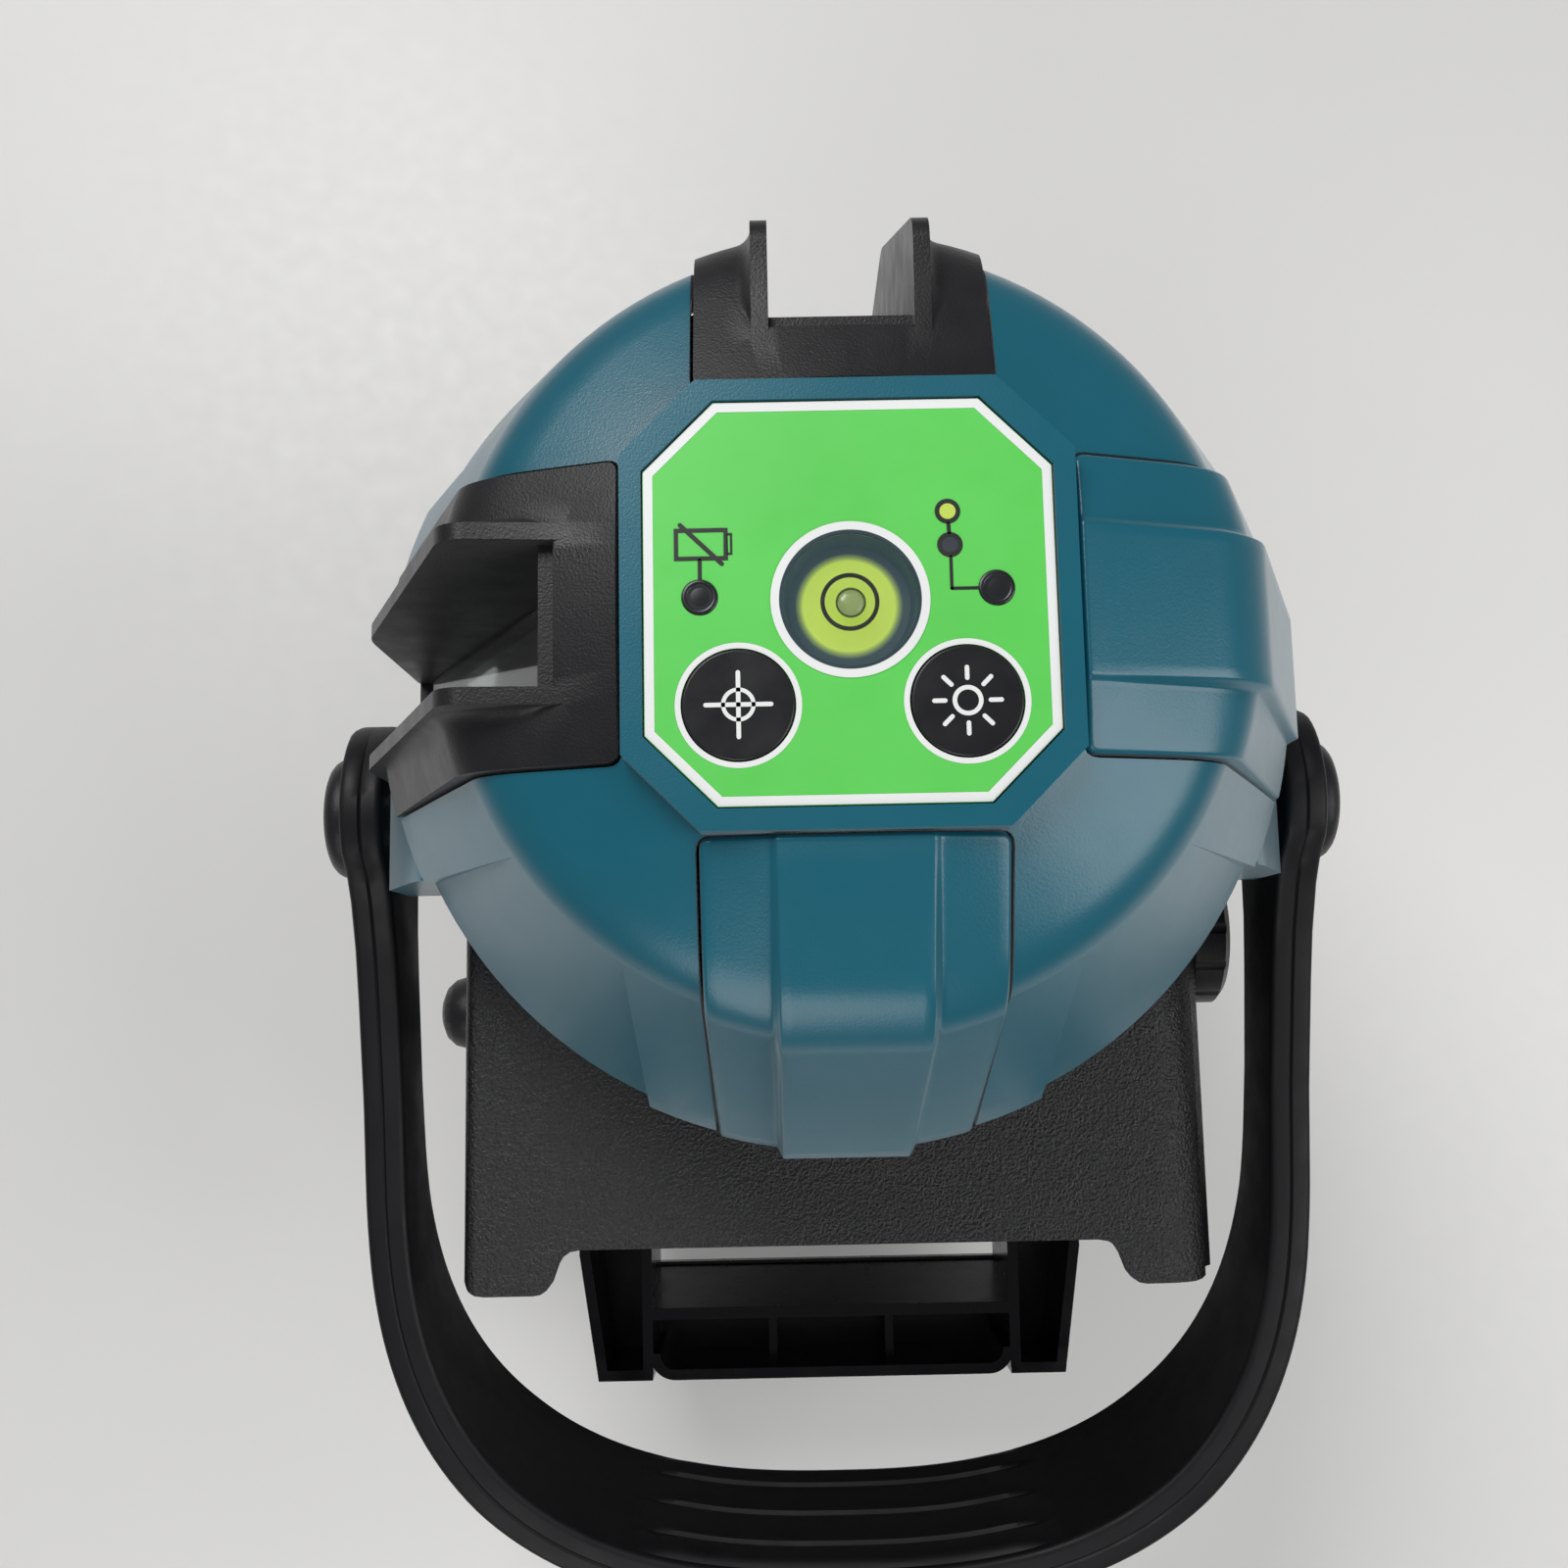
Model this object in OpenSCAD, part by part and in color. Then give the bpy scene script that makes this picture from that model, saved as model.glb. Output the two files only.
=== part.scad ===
// Self-levelling multi-line laser level.
// +Y is the front, where the main beam leaves, -Y the battery side, +Z up.
// The origin is the centre of the tripod thread, in the plane that the level stands on.

/* [Head] */
// Height of the control panel's face above the standing plane
panel_z = 203; // [195:0.5:210]
// Radius of the dome's lower rim
rim_r = 62.6; // [60:0.1:63]
// Height of the dome's lower rim
rim_z = 152.2; // [151.8:0.1:153]
// Wall thickness of the dome
dome_wall = 2.4; // [1.8:0.1:3]

/* [Panel] */
// Half width of the octagonal control panel
panel_half = 23; // [21:0.5:23.5]
// Corner cut of the control panel
panel_cut = 8; // [6:0.5:9]
// Thickness of the control panel
panel_t = 1.8; // [1.2:0.1:2]
// Radius of the two push buttons
button_r = 6.2; // [5:0.1:6.4]
// Travel of the push buttons
button_travel = 0.4; // [0.2:0.05:0.5]
// Outer radius of the bullseye vial's cup
vial_r = 8.6; // [7:0.1:9]

/* [Windows and covers] */
// Half width of each window housing and blank cover
housing_half = 17.3; // [15:0.1:18]
// Half width of the window slot
slot_half = 8.5; // [7:0.1:9]
// Thickness of the two guard fins beside each window
fin_t = 2; // [1.6:0.1:2.4]
// Width of the seam round a housing or cover
seam = 0.45; // [0.3:0.05:0.6]
// Half width of the raised block on a blank cover
block_half = 9.6; // [8:0.1:11]

/* [Body] */
// Outer radius of the lower body shell
shell_r = 54; // [53:0.1:54.2]
// Wall thickness of the lower body shell
shell_wall = 2.5; // [2:0.1:2.6]
// Height of the pan's floor above the standing plane
floor_z = 19.6; // [19.5:0.1:19.8]

/* [Battery bay] */
// Height of the roof plate's top
roof_z = 113; // [112:0.5:113]
// Half width of the roof plate
roof_half = 60.5; // [58:0.1:60.6]
// Rear end of the roof plate's two lobes
roof_end = 90; // [86:0.5:94]
// Half width of the notch between the lobes
notch_half = 43; // [40:0.5:46]
// Rear end of the ladder tray
tray_end = 117; // [112:0.5:120]

/* [Handle] */
// Distance of the handle's pivot behind the vertical axis
pivot_y = 13.8; // [13.6:0.1:14.2]
// Height of the handle's pivot
pivot_z = 122.5; // [122:0.1:123]
// Outer half width across the handle's arms
arm_out = 75; // [74:0.1:76]
// Thickness of the handle's strap
strap_t = 6.5; // [5:0.1:6.6]
// Length of the handle from its pivot to the outside of the grip
handle_len = 125; // [120:0.5:128]
// Distance from the pivot at which the straight arms start to bow in
bow_start = 54; // [50:1:60]
// Squareness of the bow, 2 is an ellipse
bow_power = 2.6; // [2:0.1:3.2]
// Angle of the folded handle below the horizontal
fold_angle = 12.5; // [8:0.5:15]

/* [Base] */
// Radius of the base disc
base_r = 52; // [48:0.5:54]
// Wall radius of the 5/8 inch tripod thread's core hole
thread_r = 6.75; // [6.6:0.01:6.8]
// Depth of the tripod thread
thread_len = 14; // [12:0.5:16]
// Number of teeth on the fine-adjustment wheel
wheel_teeth = 64; // [48:1:72]

/* [Gimbal] */
// Height of the two gimbal axes
gimbal_z = 170; // [169.5:0.1:170.5]
// Radius of the gimbal's pivot pins
gimbal_pin_r = 1.45; // [1.4:0.01:1.46]

/* [Hidden] */
$fn = 72;

teal = [0, 0.38, 0.48];
black = [0.13, 0.13, 0.14];
dark_rubber = [0.08, 0.08, 0.08];
alloy = [0.72, 0.73, 0.75];
steel = [0.62, 0.63, 0.66];
brass = [0.78, 0.62, 0.28];
copper = [0.72, 0.42, 0.27];
label_green = [0.35, 0.84, 0.33];
board_green = [0.05, 0.32, 0.16];
liquid_green = [0.78, 0.88, 0.24];
glass_tint = [0.7, 0.85, 0.85, 0.4];

front_turn = 0;
left_turn = 90;
rear_turn = 180;
right_turn = -90;

shell_in = shell_r - shell_wall;
housing_start = 26.15;
cover_corner = 1.3;
slot_start = 33.5;
ring_half = panel_half + 2.6;
ring_cut = panel_cut + 0.6;
ring_rise = 0.4;
plate_top = panel_z - panel_t;
plate_low = 199.6;
button_pos = [[-12.6, -11.7], [12.6, -11.7]];
light_pos = [[-16.7, 0.5], [16.3, 1]];
light_r = 1.9;
board_top = 196.6;
post_radius = 47;
post_turns = [58, 122, 238, 302];
arm_in = arm_out - strap_t;
ear_out = arm_in - 1.3;
ear_in = shell_r + 0.6;
ear_r = 12.6;
ear_front = 10.8;
paddle_r = 14.6;
roof_corner = 53.9;
roof_front = 18;
bay_front = ear_r + pivot_y + 0.8;
pin_r = 2.4;
run_gap = 0.05;
dial_pos = [0, -33.5, 97];
worm_pos = [0, -45.2, 50];
worm_r = 4.6;
wheel_r = 40.2;
tilt_axis_r = gimbal_pin_r + run_gap;

// Quadratic curve from a to c with its corner at b
function curve(a, b, c, steps) =
    [for (i = [0 : steps]) let (t = i / steps) (1 - t) * (1 - t) * a + 2 * t * (1 - t) * b + t * t * c];

// Outside of the dome as radius and height, from the centre to the rim
dome_outside = concat(
    [[0, 202.4], [24, 202.4]],
    curve([41, 196.3], [46.2, 194.5], [47.7, 190.6], 6),
    [[rim_r, rim_z + 0.8], [rim_r, rim_z]]
);
// The same for the window housings and covers, which stand slightly proud
cover_outside = concat(
    [[0, 203.1], [24, 203.1]],
    curve([41, 197], [47.6, 194.8], [49.2, 191], 6),
    [[64.5, rim_z + 0.8], [64.5, rim_z]]
);
dome_inside = concat(
    [[rim_r - dome_wall, rim_z]],
    curve([45.2, 190], [44.4, 191.6], [41, 193.6], 4),
    [[24, plate_low], [0, plate_low]]
);

// Side profile of a guard fin as radius and height
fin_profile = concat(
    [[31, 199.4]],
    curve([43.6, 200.4], [46.6, 200.2], [47.6, 197.4], 5),
    curve([65.6, 154.2], [66.7, 151.6], [66.7, 148.6], 3),
    curve([66.7, 120.8], [66.7, 118.3], [64.4, 118.3], 3),
    [[57.5, 118.3], [33.4, 166.5], [33.4, 195.5]]
);

// Side profile of a cover's raised block as radius and height
block_profile = concat(
    [[28.5, 201.2]],
    curve([44.5, 197.3], [48.4, 196.4], [49.7, 192], 5),
    [[65.5, 152.6], [65.5, rim_z], [rim_r - dome_wall + 0.2, rim_z], [45, 189.6], [40, 193.4]]
);

module octagon(half, cut) {
    polygon([
        for (s = [[1, 1], [-1, 1], [-1, -1], [1, -1]])
            for (k = (s[0] * s[1] > 0 ? [0, 1] : [1, 0]))
                [s[0] * (k == 0 ? half : half - cut), s[1] * (k == 0 ? half - cut : half)]
    ]);
}

// Turns an outline of radius and height into a slab across x, with the radius along +Y
module side_slab(x0, width) {
    translate([x0, 0, 0])
        rotate([90, 0, 90])
            linear_extrude(width)
                children();
}

module along_x(x0, length, r, y = 0, z = 0) {
    translate([x0, y, z])
        rotate([0, 90, 0])
            cylinder(r = r, h = length);
}

module along_y(y0, length, r, x = 0, z = 0) {
    translate([x, y0, z])
        rotate([-90, 0, 0])
            cylinder(r = r, h = length);
}

module ring(r_out, r_in, z0, height) {
    translate([0, 0, z0])
        difference() {
            cylinder(r = r_out, h = height);
            translate([0, 0, -1])
                cylinder(r = r_in, h = height + 2);
        }
}

module dome(outside = dome_outside) {
    rotate_extrude()
        polygon(concat(outside, dome_inside));
}

module radial_slot(half, start) {
    translate([-half, start, 100])
        cube([2 * half, 60, 120]);
}

// The same slot with its two inner corners rounded
module round_slot(half, start, corner) {
    far = start + 60;
    translate([0, 0, 100])
        linear_extrude(120)
            polygon(concat(
                [[half, far], [-half, far]],
                curve([-half, start + corner], [-half, start], [corner - half, start], 4),
                curve([half - corner, start], [half, start], [half, start + corner], 4)
            ));
}

module both_sides() {
    children();
    mirror([1, 0, 0])
        children();
}

// ---- base: stays still on the tripod or table ----

module base_plate() {
    color(black)
        difference() {
            union() {
                rotate_extrude()
                    polygon([[0, 4], [base_r - 3, 4], [base_r, 7], [base_r, 15], [base_r - 3, 18], [0, 18]]);
                cylinder(r = 18, h = 4);
                for (a = [90, 210, 330])
                    rotate([0, 0, a])
                        translate([42, 0, 2])
                            cylinder(r = 9.5, h = 3);
            }
            translate([0, 0, -1])
                cylinder(r = 10, h = 30);
        }
}

module rubber_feet() {
    color(dark_rubber)
        for (a = [90, 210, 330])
            rotate([0, 0, a])
                translate([42, 0, 0])
                    cylinder(r = 8, h = 2);
}

module tripod_insert() {
    color(brass)
        difference() {
            union() {
                cylinder(r = 10, h = thread_len);
                translate([0, 0, thread_len])
                    cylinder(r = 10, h = 4);
            }
            translate([0, 0, -1])
                cylinder(r = thread_r, h = thread_len + 1);
            translate([0, 0, thread_len - 1])
                cylinder(r = 5.5, h = 6);
        }
}

module spindle() {
    color(steel)
        difference() {
            union() {
                translate([0, 0, 18])
                    cylinder(r = 12, h = 26);
                translate([0, 0, 18])
                    cylinder(r = 19, h = 1.2);
            }
            translate([0, 0, 17])
                cylinder(r = 5.5, h = 30);
        }
}

module fine_wheel() {
    tooth_gap = 360 / wheel_teeth;
    color(brass)
        difference() {
            union() {
                translate([0, 0, worm_pos[2] - 2])
                    cylinder(r = wheel_r - 1.6, h = 4);
                translate([0, 0, 44])
                    cylinder(r = 14, h = worm_pos[2] - 46);
                for (i = [0 : wheel_teeth - 1])
                    rotate([0, 0, i * tooth_gap])
                        translate([0, 0, worm_pos[2] - 2])
                            linear_extrude(4)
                                polygon([
                                    [wheel_r - 2, -1.3], [wheel_r - 0.2, -0.5],
                                    [wheel_r - 0.2, 0.5], [wheel_r - 2, 1.3]
                                ]);
            }
            translate([0, 0, 40])
                cylinder(r = 5.5, h = 20);
        }
}

module bearing_washer() {
    color([0.9, 0.9, 0.88])
        ring(40, 22, 18, 1.4);
}

module angle_ring() {
    color(alloy)
        difference() {
            ring(base_r - 3.2, 44, 18, 1.2);
            for (a = [0 : 15 : 345])
                rotate([0, 0, a])
                    translate([46.6, -0.3, 18.8])
                        cube([6, 0.6, 1]);
        }
}

// ---- turret: turns on the base ----

module chassis_floor() {
    color(alloy)
        difference() {
            union() {
                translate([0, 0, floor_z])
                    cylinder(r = shell_in - 0.3, h = 5);
                translate([0, 0, floor_z])
                    cylinder(r = 18, h = 24);
            }
            translate([0, 0, floor_z - 1])
                cylinder(r = 12 + run_gap, h = 40);
        }
}

// One plate of the chassis: a ring with four arms that reach the posts
module chassis_plate(z0, height, r_in, r_out) {
    difference() {
        union() {
            translate([0, 0, z0])
                cylinder(r = r_out, h = height);
            for (a = post_turns)
                rotate([0, 0, a])
                    translate([r_out - 2, -4, z0])
                        cube([post_radius + 3 - r_out + 2, 8, height]);
        }
        translate([0, 0, z0 - 1])
            cylinder(r = r_in, h = height + 2);
    }
}

module chassis_frame() {
    lug_in = 28.5;
    color(alloy)
        difference() {
            union() {
                chassis_plate(160, 4, 27, 34);
                chassis_plate(55, 3, 7, 30);
                for (a = post_turns)
                    rotate([0, 0, a])
                        translate([post_radius, 0, floor_z + 5])
                            cylinder(r = 2.5, h = 160 - floor_z - 4);
                both_sides()
                    translate([lug_in, -4, 163])
                        cube([4, 8, 12]);
            }
            along_x(-40, 80, tilt_axis_r, 0, gimbal_z);
        }
}

module shell_tube() {
    difference() {
        union() {
            ring(shell_r, shell_in, 20, 130);
            ring(60, shell_in, 148, 2);
            ring(shell_in + 1, shell_in - 1.6, floor_z + 5.2, 2);
        }
        for (a = [front_turn, left_turn])
            rotate([0, 0, a])
                translate([-slot_half - fin_t - 0.4, 28, 117.9])
                    cube([2 * (slot_half + fin_t + 0.4), 60, 60]);
        both_sides()
            translate([ear_in - 0.4, -pivot_y - ear_r - 0.4, 105])
                cube([20, ear_r + 5, 60]);
    }
}

module front_shell() {
    color(black)
        intersection() {
            shell_tube();
            translate([-80, 0.05, 0])
                cube([160, 80, 200]);
        }
}

module rear_shell() {
    color(black)
        difference() {
            intersection() {
                shell_tube();
                translate([-80, -80.05, 0])
                    cube([160, 80, 200]);
            }
            along_x(20, 40, 3.2, dial_pos[1], dial_pos[2]);
            along_x(-45, 30, 6, worm_pos[1], worm_pos[2]);
        }
}

// Outline of the roof plate seen from above, with the notch that reaches the battery's release
module roof_outline() {
    lobe = notch_half + 6;
    bottom = roof_end - 7;
    difference() {
        both_sides()
            polygon(concat(
                [[-1, -roof_front], [roof_corner, -roof_front]],
                [[roof_corner, -bay_front], [roof_half, -bay_front]],
                curve([roof_half, 3.5 - roof_end], [roof_half, -roof_end], [roof_half - 3.5, -roof_end], 4),
                curve([lobe, -roof_end], [lobe - 1.8, -roof_end], [lobe - 2.8, 1.8 - roof_end], 3),
                curve([lobe - 3.8, 4.6 - roof_end], [lobe - 4.8, -bottom], [lobe - 7.5, -bottom], 3),
                [[-1, -bottom]]
            ));
        circle(r = shell_r + 0.3);
    }
}

// What the roof's long edges lose: a soft roll-off on the right, a small round on the left
module roof_edges() {
    over = roof_z + 1;
    translate([0, -10, 0])
        rotate([90, 0, 0])
            linear_extrude(roof_end)
                polygon(concat(
                    [[roof_half + 1, over], [roof_half - 9, over]],
                    curve([roof_half - 9, roof_z], [roof_half - 3, roof_z], [roof_half, roof_z - 4.5], 5),
                    [[roof_half + 1, roof_z - 4.5]]
                ));
    translate([0, -10, 0])
        rotate([90, 0, 0])
            linear_extrude(roof_end)
                polygon(concat(
                    [[-roof_half - 1, over], [2.3 - roof_half, over]],
                    curve([2.3 - roof_half, roof_z], [0.5 - roof_half, roof_z], [-roof_half, roof_z - 2.3], 4),
                    [[-roof_half - 1, roof_z - 2.3]]
                ));
}

module battery_bay() {
    wall_len = roof_end - 2 - bay_front - 0.4;
    color(black)
        difference() {
            union() {
                translate([0, 0, roof_z - 3])
                    linear_extrude(3)
                        roof_outline();
                both_sides()
                    translate([roof_half - 3, -roof_end + 2, 58])
                        cube([3, wall_len, roof_z - 60]);
                translate([-roof_half + 1, -58.5, 58])
                    cube([2 * roof_half - 2, 2.5, roof_z - 60]);
            }
            roof_edges();
            along_x(40, 40, 2.5 + run_gap, dial_pos[1], dial_pos[2]);
        }
}

module battery_rails() {
    rail_end = 82.5;
    rail_len = rail_end - 58.6;
    color(black)
        both_sides() {
            translate([32.5, -rail_end, 97])
                cube([3.5, rail_len, roof_z - 3 - 97]);
            translate([29, -rail_end, 97])
                cube([3.5, rail_len, 3]);
        }
}

module terminal_block() {
    color([0.75, 0.72, 0.3])
        difference() {
            translate([-16, -64.5, 92])
                cube([32, 6, 17.8]);
            for (x = [-11, 0, 11])
                translate([x - 1, -70, 94])
                    cube([2, 12, 13]);
        }
}

module terminal_blades() {
    color(brass)
        for (x = [-11, 0, 11])
            translate([x - 0.4, -74, 95])
                cube([0.8, 15.4, 10]);
}

module battery_tray() {
    rail_z = 30;
    rail_h = 23;
    wall_y = 97.8;
    wall_lean = 5.6;
    rib_y = 103.6;
    color(black)
        difference() {
            union() {
                both_sides() {
                    // outer and inner walls of the side channel, drawn in towards the rear
                    translate([0, 0, rail_z])
                        linear_extrude(rail_h)
                            polygon([
                                [47.3, -56], [49.3, -56], [49.3, -93], [45.6, -tray_end],
                                [43.6, -tray_end], [47.3, -92.6]
                            ]);
                    translate([0, 0, rail_z])
                        linear_extrude(rail_h)
                            polygon([
                                [35.3, -56], [37.3, -56], [36.9, 1 - tray_end], [34.9, 1 - tray_end]
                            ]);
                    translate([0, 0, rail_z])
                        linear_extrude(2.5)
                            polygon([[36, -56], [49, -56], [49, -93], [45, -tray_end], [35, -tray_end]]);
                    translate([36, -59, rail_z])
                        cube([12.5, 3, rail_h]);
                }
                translate([-37, -58, rail_z])
                    cube([74, 2.5, rail_h]);
                // first cross wall, leaning back
                side_slab(-36, 72)
                    polygon([
                        [-wall_y, rail_z], [-wall_y - wall_lean, rail_z + rail_h],
                        [-wall_y - wall_lean - 2.2, rail_z + rail_h], [-wall_y - 2.2, rail_z]
                    ]);
                // rear wall, whose ends are swept forward between the rails
                translate([0, 0, rail_z])
                    linear_extrude(rail_h)
                        cross_wall(tray_end - 5, 2, 35.6);
                both_sides()
                    translate([35, -tray_end, rail_z])
                        cube([10.4, 2, rail_h]);
                translate([-36, -tray_end, rail_z])
                    cube([72, tray_end - wall_y, 2.5]);
                for (x = [-12.3, 10.9])
                    translate([x, 1 - tray_end, rail_z])
                        cube([1.6, tray_end - 1 - rib_y, rail_h - 7]);
            }
            translate([0, 0, rail_z - 1])
                cylinder(r = shell_r + 0.3, h = 40);
        }
}

// A wall across the tray at distance d behind the axis, whose ends curve round to meet the rails
module cross_wall(d, t, half) {
    bend = 5;
    translate([-half + bend, -d - bend])
        square([2 * (half - bend), t]);
    both_sides()
        translate([half - bend, -d])
            intersection() {
                difference() {
                    circle(r = bend);
                    circle(r = bend - t);
                }
                translate([0, -bend])
                    square([bend + 1, bend]);
            }
}

// Bosses on the dome that carry the handle's pivots
module pivot_ear() {
    difference() {
        union() {
            along_x(ear_in, ear_out - ear_in, ear_r, -pivot_y, pivot_z);
            translate([0, -pivot_y - ear_r, 0])
                rotate([90, 0, 0])
                    mirror([0, 0, 1])
                        linear_extrude(2 * ear_r)
                            polygon([
                                [ear_in, pivot_z], [ear_out, pivot_z], [ear_out, 136],
                                [60.2, rim_z - 1.2], [58.5, rim_z + 1.3], [ear_in, rim_z + 1.3]
                            ]);
        }
        translate([0, -ear_front, 90])
            cube([100, 40, 80]);
        along_x(ear_in - 1, 20, pin_r, -pivot_y, pivot_z);
    }
}

// Flat pads on the dome's flare on both sides of every housing and cover
module flare_pads() {
    pad_end = 26.8;
    pad_start = housing_half + seam;
    intersection() {
        rotate_extrude()
            polygon([
                [46, 190.6], [47.7, 190.6], [rim_r + 1.3, rim_z + 1.4], [rim_r + 1.3, rim_z], [60, rim_z]
            ]);
        for (a = [front_turn, left_turn, rear_turn, right_turn])
            rotate([0, 0, a])
                both_sides()
                    translate([pad_start, 30, 140])
                        cube([pad_end - pad_start, 40, 60]);
    }
}

module head_shell() {
    color(teal)
        difference() {
            union() {
                dome();
                translate([0, 0, plate_low])
                    linear_extrude(panel_z + ring_rise - plate_low)
                        octagon(ring_half, ring_cut);
                both_sides()
                    pivot_ear();
                flare_pads();
            }
            translate([0, 0, plate_top])
                linear_extrude(10)
                    octagon(panel_half + 0.15, panel_cut + 0.1);
            translate([0, 0, 180])
                cylinder(r = vial_r + 0.1, h = 40);
            for (p = button_pos)
                translate([p[0], p[1], 190])
                    cylinder(r = 2.3, h = 20);
            for (p = light_pos)
                translate([p[0], p[1], 190])
                    cylinder(r = light_r + 0.1, h = 20);
            for (a = [front_turn, left_turn, rear_turn, right_turn])
                rotate([0, 0, a])
                    intersection() {
                        round_slot(housing_half + seam, housing_start - seam, cover_corner + seam);
                        translate([-100, 0, rim_z - 0.01])
                            cube([200, 200, 80]);
                    }
        }
}

module rim_seal() {
    color(dark_rubber)
        difference() {
            ring(59.8, 57.6, 150, rim_z - 150);
            for (a = [front_turn, left_turn])
                rotate([0, 0, a])
                    radial_slot(housing_half + 1, 20);
            both_sides()
                translate([ear_in - 2, -pivot_y - ear_r - 0.6, 100])
                    cube([20, ear_r + 5.4, 80]);
        }
}

module control_panel() {
    color(label_green)
        difference() {
            translate([0, 0, plate_top])
                linear_extrude(panel_t)
                    octagon(panel_half, panel_cut);
            translate([0, 0, 190])
                cylinder(r = vial_r + 0.1, h = 40);
            for (p = button_pos)
                translate([p[0], p[1], 190])
                    cylinder(r = button_r + 0.15, h = 20);
            for (p = light_pos)
                translate([p[0], p[1], 190])
                    cylinder(r = light_r + 0.1, h = 20);
        }
}

module status_lights() {
    color([0.05, 0.05, 0.05])
        for (p = light_pos)
            translate([p[0], p[1], board_top])
                cylinder(r = light_r, h = panel_z + 0.15 - board_top);
}

module key_board() {
    color(board_green)
        difference() {
            translate([0, 0, board_top - 1.6])
                linear_extrude(1.6)
                    octagon(21.5, 8);
            translate([0, 0, 190])
                cylinder(r = vial_r + 0.6, h = 10);
        }
    color(black)
        for (p = button_pos)
            translate([p[0] - 3, p[1] - 3, board_top])
                cube([6, 6, 1.8]);
}

module button(p) {
    translate([p[0], p[1], 0]) {
        translate([0, 0, plate_top + button_travel + run_gap])
            cylinder(r = button_r, h = panel_t - 0.15);
        translate([0, 0, 199])
            cylinder(r = 2, h = 3);
    }
}

module line_button() {
    color(black)
        button(button_pos[0]);
}

module light_button() {
    color(black)
        button(button_pos[1]);
}

module vial_cup() {
    color([0.93, 0.93, 0.9])
        difference() {
            translate([0, 0, 193])
                cylinder(r = vial_r, h = panel_z + 0.1 - 193);
            translate([0, 0, 194.6])
                cylinder(r = vial_r - 0.9, h = 20);
        }
}

module vial_liquid() {
    color(liquid_green)
        translate([0, 0, 194.6])
            cylinder(r = vial_r - 0.95, h = 7.2);
}

module vial_lens() {
    color(glass_tint)
        translate([0, 0, 201.85])
            cylinder(r = vial_r - 0.95, h = panel_z + 0.15 - 201.85);
}

// Housing of one window, drawn at the front
module window_housing() {
    color(black)
        union() {
            difference() {
                intersection() {
                    dome(cover_outside);
                    round_slot(housing_half, housing_start, cover_corner);
                }
                radial_slot(slot_half + 0.1, slot_start);
            }
            both_sides()
                side_slab(slot_half, fin_t)
                    polygon(fin_profile);
            translate([-slot_half - 0.5, slot_start, 172])
                cube([2 * slot_half + 1, 2, 25.5]);
            translate([-slot_half - 0.5, 57.5, 118.3])
                cube([2 * slot_half + 1, 9, 1.8]);
        }
}

// Slanted slab in the window slot: off moves it inwards, t is its thickness
module window_slab(off, t, half) {
    side_slab(-half, 2 * half)
        polygon([
            [38.6 - 0.888 * off, 171.6 - 0.46 * off],
            [64.5 - 0.888 * off, 121.6 - 0.46 * off],
            [64.5 - 0.888 * (off + t), 121.6 - 0.46 * (off + t)],
            [38.6 - 0.888 * (off + t), 171.6 - 0.46 * (off + t)]
        ]);
}

module window_glass() {
    color(glass_tint)
        window_slab(0, 2, slot_half - 0.1);
}

module window_gasket() {
    color(dark_rubber)
        difference() {
            window_slab(2, 0.8, slot_half - 0.1);
            translate([-6.6, 39, 125])
                cube([13.2, 20.5, 42.6]);
        }
}

module front_window_housing() {
    rotate([0, 0, front_turn])
        window_housing();
}

module left_window_housing() {
    rotate([0, 0, left_turn])
        window_housing();
}

module front_glass() {
    rotate([0, 0, front_turn])
        window_glass();
}

module left_glass() {
    rotate([0, 0, left_turn])
        window_glass();
}

module front_gasket() {
    rotate([0, 0, front_turn])
        window_gasket();
}

module left_gasket() {
    rotate([0, 0, left_turn])
        window_gasket();
}

// Blank cover for a side without a window, drawn at the front
module blank_cover() {
    color(teal)
        union() {
            intersection() {
                dome(cover_outside);
                round_slot(housing_half, housing_start, cover_corner);
            }
            side_slab(-block_half, 2 * block_half)
                polygon(block_profile);
        }
}

module right_cover() {
    rotate([0, 0, right_turn])
        blank_cover();
}

module rear_cover() {
    rotate([0, 0, rear_turn])
        blank_cover();
}

module pivot_pins() {
    color(steel)
        both_sides()
            along_x(ear_in + 1, arm_out + 0.3 - ear_in - 1, pin_r, -pivot_y, pivot_z);
}

module pivot_caps() {
    color(black)
        both_sides()
            translate([arm_out + 0.3, -pivot_y, pivot_z])
                rotate([0, 90, 0])
                    rotate_extrude()
                        polygon(concat(
                            [[0, 0], [9.6, 0]],
                            curve([9.6, 1.4], [9.4, 3.2], [7.6, 3.8], 4),
                            [[7.2, 3.3], [6.6, 3.3], [6.2, 3.9], [4.6, 4.1], [0, 4.2]]
                        ));
}

module pivot_washers() {
    color(steel)
        both_sides()
            difference() {
                along_x(ear_out, 1, 8, -pivot_y, pivot_z);
                along_x(ear_out - 1, 4, pin_r + 0.1, -pivot_y, pivot_z);
            }
}

module main_board() {
    color(board_green)
        translate([-22, -46, 60])
            cube([44, 1.6, 48]);
}

module board_parts() {
    color(black) {
        translate([-12, -44.4, 76])
            cube([12, 1.8, 12]);
        translate([6, -44.4, 64])
            cube([9, 3, 7]);
    }
    color(steel)
        for (x = [-17, 4, 13])
            along_y(-44.4, 5, 2.6, x, 99);
}

module damping_plate() {
    color(copper)
        ring(20, 8, 58, 1.5);
}

module lock_guide() {
    color(steel)
        along_x(12, 30.6, 1.5, -26, dial_pos[2]);
}

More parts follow.
